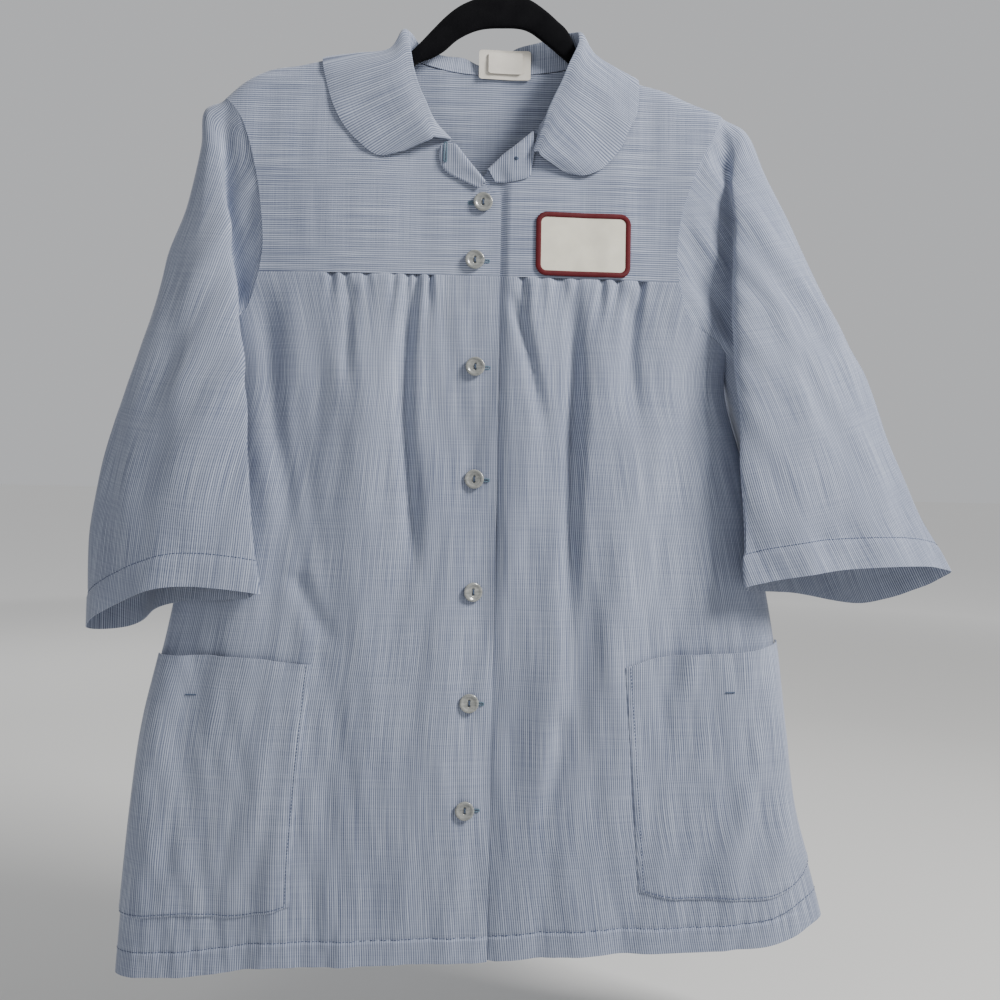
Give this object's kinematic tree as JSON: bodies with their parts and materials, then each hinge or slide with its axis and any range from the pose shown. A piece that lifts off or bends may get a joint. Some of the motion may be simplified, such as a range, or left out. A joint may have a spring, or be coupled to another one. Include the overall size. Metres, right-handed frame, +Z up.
{
  "type": "uniform smock on a hanger",
  "caption": "Hip-length button-front uniform smock with gathered yokes, wide elbow sleeves, round collar, patch pockets and a blank chest patch, on a slim hanger.",
  "frame": {"origin": "underside of the hook's top, where it sits on a rail", "axes": "+Z up, +X to the wearer's left, -Y the front"},
  "size_m": [0.735, 0.0815, 0.8911],
  "materials": {
    "chambray": "fine pin-striped woven cloth",
    "button_plastic": "pearly",
    "patch_twill": "twill",
    "patch_thread": "merrowed thread",
    "label_satin": "satin",
    "flocking": "velvet flock on a moulded core",
    "hook_wire": "polished"
  },
  "bodies": {
    "root": {"front_yoke_right": "chambray", "front_yoke_left": "chambray", "back_yoke": "chambray", "front_panel_right": "chambray", "front_panel_left": "chambray", "back_panel": "chambray", "sleeve_right": "chambray", "sleeve_left": "chambray", "collar": "chambray", "lapel_right": "chambray", "lapel_left": "chambray", "pocket_right": "chambray", "pocket_left": "chambray", "button_1": "button_plastic", "button_2": "button_plastic", "button_3": "button_plastic", "button_4": "button_plastic", "button_5": "button_plastic", "button_6": "button_plastic", "button_7": "button_plastic", "patch": "patch_twill", "patch_border": "patch_thread", "neck_label": "label_satin", "hanger": "flocking", "hook": "hook_wire"}
  },
  "joints": []
}
